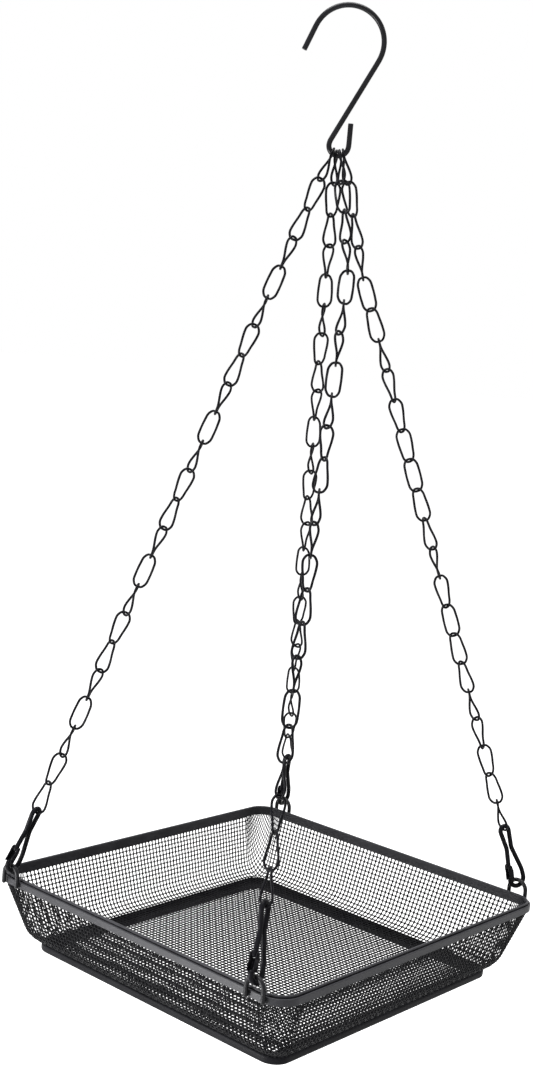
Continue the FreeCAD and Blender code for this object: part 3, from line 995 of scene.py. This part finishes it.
@dataclass
class WovenMesh:
    """Plain woven wire mesh: the pressed tray and the flat floor in it."""

    form: TrayForm
    wire: float = 0.76
    sides: int = 4
    tray_bead: float = 2.05
    floor_bead: float = 2.0
    bead_proud: float = 0.7
    bow_share: float = 0.5
    crossing_bow: float = 0.5
    least_wire: float = 0.58
    least_bead: float = 0.15
    pitch: float = 2.7
    slope_step: float = 0.05
    opening_half: Pair = (83.5, 82.9)
    floor_half: Pair = (92.4, 93.6)
    floor_corner: float = 10.0
    floor_depth: float = 41.55
    floor_shift: Pair = (0.9, 0.4)

    def lines(self, half: float, shift: float, per_cell: int) -> Array:
        """Return evenly spaced places across a mesh, a few to each cell."""
        count = 2 * int(half / self.pitch)
        return (np.arange(per_cell * count + 1) / per_cell - count / 2.0) * self.pitch + shift

    def layer(self, halves: Pair, shift: Pair, run: Run) -> tuple[Array, Array, Array]:
        """Lay out one layer's wires on the flat, and which way each is bowed.

        Each wire passes over and under the wires that cross it, as the cosine
        of half a turn a cell, and its neighbours pass the other way.

        Args:
            halves: how far the mesh reaches in X and in Y.
            shift: how far the weave is shifted in X and in Y.
            run: which of the two ways the wires run.

        Returns:
            X, Y and the bow's share from minus one to one, each as wires by
            stations.
        """
        first = 0 if run is Run.ALONG_Y else 1
        across = self.lines(halves[first], shift[first], 1)
        along = self.lines(halves[1 - first], shift[1 - first], 2)
        wire, station = np.meshgrid(np.arange(len(across)), np.arange(len(along)), indexing="ij")
        bow = run.value * np.cos(np.pi * (wire + station / 2.0))
        fixed = np.broadcast_to(across[:, None], bow.shape)
        moving = np.broadcast_to(along[None, :], bow.shape)
        return (fixed, moving, bow) if run is Run.ALONG_Y else (moving, fixed, bow)

    def woven(
        self, places: Array, slope_x: Array, slope_y: Array,
        bow: Array, keep: Array, bead: float,
    ) -> tuple[Skin, Skin]:
        """Make one layer's wires, and the beads of coat where they cross the other's.

        The wires are bowed along the mesh's normal, which is the cross
        product of its two slopes. That product's length is the room that a
        cell has. Where it is less than one, wires and beads are finer.

        Args:
            places: the wires' unbowed points, as wires by stations by three.
            slope_x: how the mesh's place changes along the flat blank's X.
            slope_y: how it changes along the blank's Y.
            bow: the bow's share at each point.
            keep: which points are there.
            bead: a bead's size across the mesh, where a cell has all its room.

        Returns:
            The wires and the beads.
        """
        square = np.cross(slope_x, slope_y)
        normal = unit(square + UP * TINY)
        room = np.clip(np.linalg.norm(square, axis=-1), 0.0, 1.0)
        bowed = places + normal * (bow * self.bow_share * self.wire / 2.0)[..., None]
        radius = self.wire / 2.0 * (self.least_wire + (1.0 - self.least_wire) * room)
        crossing = keep & (np.abs(bow) > self.crossing_bow)
        slope = unit(unit(slope_x)[crossing] + unit(slope_y)[crossing])
        size = bead * (self.least_bead + (1.0 - self.least_bead) * room[crossing])
        return (
            wires(bowed, normal, radius, self.sides, keep=keep),
            self.beads(places[crossing], normal[crossing], slope, size),
        )

    def beads(self, centres: Array, normal: Array, slope: Array, size: Array) -> Skin:
        """Make the beads of coat that fill the corners where two wires cross.

        A bead has six points: the centre plus and minus its half size along
        the slope and square to it, and plus and minus a share of the wire
        along the normal.

        Args:
            centres: the crossings, one a row.
            normal: the mesh's normal at each.
            slope: the line of the bead's own corners there.
            size: each bead's size across the mesh.

        Returns:
            The beads' surface.
        """
        along = slope * size[:, None] / 2.0
        aside = np.cross(normal, slope) * size[:, None] / 2.0
        proud = normal * self.wire * self.bead_proud
        tips = np.stack([along, aside, -along, -aside, proud, -proud], axis=1)
        corners = np.array([
            (0, 1, 4), (1, 2, 4), (2, 3, 4), (3, 0, 4), (1, 0, 5), (2, 1, 5), (3, 2, 5), (0, 3, 5),
        ])
        faces = np.arange(len(centres))[:, None, None] * 6 + corners
        return Skin((centres[:, None] + tips).reshape(-1, 3), [faces.reshape(-1, 3)])

    def tray_skins(self, run: Run) -> tuple[Skin, Skin]:
        """Make the pressed tray's wires that run one way, with the flat's opening left out.

        Args:
            run: which way they run.

        Returns:
            The wires, and the beads where they are crossed.
        """
        reach = float(self.form.profile()[0][-1])
        flat = self.form.flat_half
        p, q, bow = self.layer((flat[0] + reach, flat[1] + reach), (0.0, 0.0), run)
        place = self.form.pressed
        step = self.slope_step
        slope_x = (place(p + step, q) - place(p - step, q)) / (2.0 * step)
        slope_y = (place(p, q + step) - place(p, q - step)) / (2.0 * step)
        hole = (np.abs(p) < self.opening_half[0]) & (np.abs(q) < self.opening_half[1])
        keep = (beyond(p, q, flat)[2] <= reach) & ~hole
        return self.woven(place(p, q), slope_x, slope_y, bow, keep, self.tray_bead)

    def floor_skins(self, run: Run) -> tuple[Skin, Skin]:
        """Make the floor's wires that run one way, cut to its outline with round corners.

        Args:
            run: which way they run.

        Returns:
            The wires, and the beads where they are crossed.
        """
        x, y, bow = self.layer(self.floor_half, self.floor_shift, run)
        inner = (self.floor_half[0] - self.floor_corner, self.floor_half[1] - self.floor_corner)
        keep = beyond(x, y, inner)[2] <= self.floor_corner
        z = np.full(x.shape, self.form.suspension.rim_top - self.floor_depth)
        places = np.stack([x, y, z], axis=-1)
        slope_x, slope_y = (np.broadcast_to(axis, places.shape) for axis in (X_AXIS, Y_AXIS))
        return self.woven(places, slope_x, slope_y, bow, keep, self.floor_bead)

    def build(self, dresser: Dresser) -> None:
        """Build both meshes, the wires that run each way as a piece of their own.

        The beads lie where the wires cross, so one of the two ways gives them all.

        Args:
            dresser: gives the pieces their coats and bodies.
        """
        for label, name, skins in (
            ("tray", "mesh_body", self.tray_skins), ("floor", "floor_mesh", self.floor_skins),
        ):
            ways = {run: skins(run) for run in Run}
            for run, (skin, _) in ways.items():
                dresser.dress(skin, f"{label}_wires_{run.name.lower()}", Slot.MESH, [name])
            dresser.dress(ways[Run.ALONG_X][1], f"{label}_beads", Slot.MESH, [name])


@dataclass
class SheetWork:
    """The folded sheet pieces: the rim, the floor's band and the foot."""

    form: TrayForm
    rim_height: float = 5.2
    rim_thickness: float = 2.8
    rim_outer: float = 1.15
    rim_inner: float = 0.75
    rim_crown: float = 3.2
    rim_step: float = 1.4
    rim_roll: float = 1.5
    rim_inner_height: float = 6.0
    rim_edge: float = 0.25
    rim_slant: float = 0.1
    groove_depth: float = 2.4
    groove_foot: float = 0.4
    foot_inset: float = 16.8
    foot_sheet: float = 0.8
    foot_flange: float = 2.6
    foot_hem: float = 3.2
    foot_flange_depth: float = 43.45
    foot_least_corner: float = 3.0
    tray_depth: float = 47.7
    band_sheet: float = 0.8
    band_low: float = 46.85
    band_start: float = 0.9
    band_reach: float = 10.6
    band_corners: Pair = (9.6, 7.0)

    def rim_skin(self) -> Skin:
        """Make the rim: its folded section, lightly evened, carried round the tray.

        From outside to inside the section is the outer fold, the groove, the
        rolled lip and the inner side, with the slot for the mesh between them.

        Returns:
            The rim's surface.
        """
        thick, outer, step = self.rim_thickness, self.rim_outer, self.rim_step
        edge, slant, groove = self.rim_edge, self.rim_slant, self.groove_depth
        slot_inner = thick - self.rim_inner
        roll = thick - self.rim_roll
        line = evened(np.array([
            (0.0, self.rim_height), (0.0, step + edge), (edge, step), (outer - slant, step),
            (outer + slant, groove), (roll + self.groove_foot, groove), (roll + edge, step - slant),
            (roll, step / 2.0), (roll + edge, slant), (roll + self.rim_roll / 2.0, 0.0),
            (thick - edge, slant), (thick, step / 2.0), (thick, self.rim_inner_height),
            (slot_inner, self.rim_inner_height), (slot_inner, self.rim_crown),
            (outer, self.rim_crown), (outer, self.rim_height),
        ]), step=0.07, reach=0.16, closed=True)
        size = self.form.suspension
        halves = (size.tray_width / 2.0, size.tray_length / 2.0)
        return self.form.hoop(halves, line, self.form.rim_corner - line[:, 0])

    def band_skin(self) -> Skin:
        """Make the flat band on the foot's hem: a thin section with rounded edges.

        Returns:
            The band's surface.
        """
        start, end = self.band_start, self.band_reach
        low, high = self.band_low, self.band_low - self.band_sheet
        section = np.array([(start, low), (start, high), (end, high), (end, low)])
        line = evened(section, step=0.15, reach=0.45, closed=True)
        radius = np.interp(line[:, 0], (start, end), self.band_corners)
        return self.form.hoop(self.form.halves(self.foot_inset), line, radius)

    def foot_skin(self) -> Skin:
        """Make the foot: a strip folded in under the shelf and hemmed below.

        Its section is the strip's middle line, evened at the folds, moved out
        and in by half the sheet along the line's normal.

        Returns:
            The foot's surface.
        """
        half = self.foot_sheet / 2.0
        low = self.tray_depth - half
        middle = evened(np.array([
            (self.foot_flange, self.foot_flange_depth), (half, self.foot_flange_depth),
            (half, low), (self.foot_hem, low),
        ]), step=0.3, reach=1.2)
        slope = unit(np.gradient(middle, axis=0))
        normal = np.stack([slope[:, 1], -slope[:, 0]], axis=1)
        line = np.vstack([middle + normal * half, (middle - normal * half)[::-1]])
        radius = np.maximum(self.form.corner(self.foot_inset) - line[:, 0], self.foot_least_corner)
        return self.form.hoop(self.form.halves(self.foot_inset), line, radius)

    def build(self, dresser: Dresser) -> None:
        """Build the three sheet pieces.

        Args:
            dresser: gives the pieces their coats and bodies.
        """
        dresser.dress(self.rim_skin(), "rim_sheet", Slot.RIM, ["rim"])
        dresser.dress(self.band_skin(), "band_sheet", Slot.BASE, ["floor_band"])
        dresser.dress(self.foot_skin(), "foot_sheet", Slot.BASE, ["foot_ring"])


@dataclass
class RimEyes:
    """Four upturned wire Us on the rim's outside."""

    suspension: Suspension
    width: float = 14.0
    rim_height: float = 5.2
    sides: int = 14

    def build(self, dresser: Dresser) -> None:
        """Build the eyes: an arc between two straight legs, with domed feet.

        Args:
            dresser: gives the pieces their coats and bodies.
        """
        # The eyes take a darker copy of the rim coat: painted shade.
        finish = SHADED_EYE_COAT.material()
        wire = self.suspension.eye_wire
        radius = (self.width - wire) / 2.0
        crown = self.suspension.eye_seat + wire / 2.0
        for hanging in HANGINGS:
            centre = self.suspension.corner(hanging, crown - radius)
            bend = arc(centre, radius, 180.0, 0.0, X_AXIS)
            down = UP * (centre[2] - self.suspension.rim_top + self.rim_height)
            line = evened(np.vstack([bend[0] - down, bend, bend[-1] - down]), step=0.5, reach=1.2)
            skin = single_wire(line, Y_AXIS, wire, self.sides)
            name = f"rim_eye_{hanging.name}"
            dresser.dress(skin, f"wire_{name}", Slot.RIM, [name], finish=finish)


@dataclass
class Studio:
    """The camera, the lamps, the white surround and the floor below.

    The camera's place is in millimetres from the middle of the rim's top. The
    lamps and the floor are in metres from the frame's origin.
    """

    rim_top: float
    place: Place = (555.2, -661.9, 310.9)
    forward: Place = (-0.6565, 0.7450, -0.1183)
    right: Place = (0.7404, 0.6664, 0.0876)
    focal_pixels: float = 1509.35
    picture_height: float = 1068.0
    lamp_aim: Place = (0.0, 0.0, -0.45)
    surround_light: float = 0.4
    floor_height: float = -0.95
    floor_reach: float = 40.0
    floor_pale: float = 0.8
    floor_glow: float = 0.75

    @staticmethod
    def stood(data: bpy.types.ID, place: Array, back: Array, right: Array) -> bpy.types.Object:
        """Stand a camera or a lamp somewhere.

        Args:
            data: what it is.
            place: where it stands, in metres.
            back: the direction opposite to where it looks.
            right: its right, square to back.

        Returns:
            The new object, linked to the scene.
        """
        matrix = np.eye(4)
        matrix[:3, :] = np.stack([right, np.cross(back, right), back, place], axis=1)
        thing = bpy.data.objects.new(data.name, data)
        thing.matrix_world = matrix.T.tolist()
        bpy.context.scene.collection.objects.link(thing)
        return thing

    def camera(self) -> None:
        """Set the camera where the photograph was taken from.

        Its lens is the focal length in pixels over the picture's height,
        times the sensor's height.
        """
        data = bpy.data.cameras.new("camera")
        data.sensor_fit = "VERTICAL"
        data.sensor_height = 36.0
        data.lens = self.focal_pixels / self.picture_height * data.sensor_height
        data.clip_start = 0.01
        back = -unit(np.array(self.forward))
        right = np.array(self.right)
        right = unit(right - back * float(np.dot(right, back)))
        place = (np.array(self.place) + UP * self.rim_top) * TO_METRES
        bpy.context.scene.camera = self.stood(data, place, back, right)

    def lamp(self, name: str, place: Place, size: float, power: float) -> None:
        """Add a square soft lamp that faces the tray.

        Args:
            name: the lamp's name.
            place: where it stands, in metres.
            size: the length of its side, in metres.
            power: its power, in watts.
        """
        data = bpy.data.lights.new(name, "AREA")
        data.shape = "SQUARE"
        data.size = size
        data.energy = power
        back = unit(np.array(place) - np.array(self.lamp_aim))
        self.stood(data, np.array(place), back, unit(np.cross(UP, back)))

    @staticmethod
    def by_sight(
        tree: bpy.types.NodeTree, unseen: bpy.types.Node, seen: bpy.types.Node,
    ) -> bpy.types.NodeSocket:
        """Mix two shaders by the kind of ray.

        Args:
            tree: the tree that they are in.
            unseen: the shader for the rays that only bring light.
            seen: the one for camera, glossy and transmission rays.

        Returns:
            The mix's output.
        """
        path = node(tree, "LightPath")
        sight = path.outputs["Is Camera Ray"]
        for ray in ("Is Glossy Ray", "Is Transmission Ray"):
            either = node(tree, "Math")
            either.operation = "MAXIMUM"
            linked(tree, (sight, either.inputs[0]), (path.outputs[ray], either.inputs[1]))
            sight = either.outputs[0]
        mix = node(tree, "MixShader")
        linked(
            tree, (sight, mix.inputs["Fac"]),
            (unseen.outputs[0], mix.inputs[1]), (seen.outputs[0], mix.inputs[2]),
        )
        return mix.outputs[0]

    def world(self) -> None:
        """Make the surround: white where it is seen, plain grey light elsewhere."""
        world = bpy.data.worlds.new("surround")
        world.use_nodes = True
        tree = world.node_tree
        tree.nodes.clear()
        plain = node(tree, "Background", {"Color": (*[self.surround_light] * 3, 1.0)})
        white = node(tree, "Background", {"Color": (1.0, 1.0, 1.0, 1.0)})
        linked(tree, (self.by_sight(tree, plain, white), node(tree, "OutputWorld").inputs["Surface"]))
        bpy.context.scene.world = world

    def floor(self) -> None:
        """Lay a wide pale floor that takes the object's shadow.

        Where it is seen, a share of plain white is added to its lit colour,
        so that it is white away from the shadow.
        """
        reach = self.floor_reach
        mesh = bpy.data.meshes.new("floor")
        corners = [(-reach, -reach), (reach, -reach), (reach, reach), (-reach, reach)]
        mesh.from_pydata([(x, y, self.floor_height) for x, y in corners], [], [(0, 1, 2, 3)])
        material = bpy.data.materials.new("pale_floor")
        material.use_nodes = True
        tree = material.node_tree
        tree.nodes.clear()
        lit = node(tree, "BsdfDiffuse", {"Color": (*[self.floor_pale] * 3, 1.0)})
        glow = node(tree, "Emission", {"Strength": self.floor_glow})
        none = node(tree, "Emission", {"Strength": 0.0})
        both = node(tree, "AddShader")
        linked(
            tree, (lit.outputs[0], both.inputs[0]), (self.by_sight(tree, none, glow), both.inputs[1]),
            (both.outputs[0], node(tree, "OutputMaterial").inputs["Surface"]),
        )
        mesh.materials.append(material)
        floor = bpy.data.objects.new("floor", mesh)
        bpy.context.scene.collection.objects.link(floor)

    def build(self) -> None:
        """Set up the whole studio."""
        self.camera()
        self.world()
        self.floor()
        self.lamp("key", (-0.45, -1.2, -0.72), size=0.45, power=24.0)
        self.lamp("side", (1.5, -0.2, -0.2), size=0.8, power=1.2)
        self.lamp("top", (-0.1, -0.1, 1.2), size=1.2, power=60.0)
        bpy.context.scene.view_settings.view_transform = "Standard"


# The rim eyes' coat: a darker copy of the rim coat in the same slot, so the eyes come out darker than the
# rim. The darkness is painted shade, not a coat of their own.
SHADED_EYE_COAT = Coat(
    Slot.RIM, (0.008, 0.008, 0.009), (0.014, 0.014, 0.016), (0.28, 0.4), gloss=0.12, label="eye_coat_painted_shade",
)
COATS = [
    Coat(Slot.HOOK, (0.006, 0.006, 0.007), (0.011, 0.011, 0.013), (0.22, 0.32), gloss=0.12),
    Coat(Slot.CHAIN, (0.004, 0.004, 0.005), (0.009, 0.009, 0.011), (0.25, 0.36)),
    Coat(Slot.SNAP, (0.004, 0.004, 0.005), (0.009, 0.009, 0.011), (0.25, 0.36)),
    Coat(Slot.RIM, (0.018, 0.018, 0.021), (0.030, 0.030, 0.034), gloss=0.2),
    Coat(Slot.MESH, (0.004, 0.004, 0.005), (0.009, 0.009, 0.010)),
    Coat(Slot.BASE, (0.006, 0.006, 0.007), (0.011, 0.011, 0.013)),
]


def main() -> None:
    """Build the feeder piece by piece."""
    logging.basicConfig(level=logging.INFO, format="%(name)s: %(message)s")
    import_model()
    hook = Hook()
    suspension = Suspension(hook)
    form = TrayForm(suspension)
    dresser = Dresser(COATS)
    log.info("rim top at %.4f mm", suspension.rim_top)
    Studio(suspension.rim_top).build()
    hook.build(dresser)
    Chains(suspension).build(dresser)
    Snaps(suspension).build(dresser)
    RimEyes(suspension).build(dresser)
    SheetWork(form).build(dresser)
    WovenMesh(form).build(dresser)


if __name__ == "__main__":
    main()
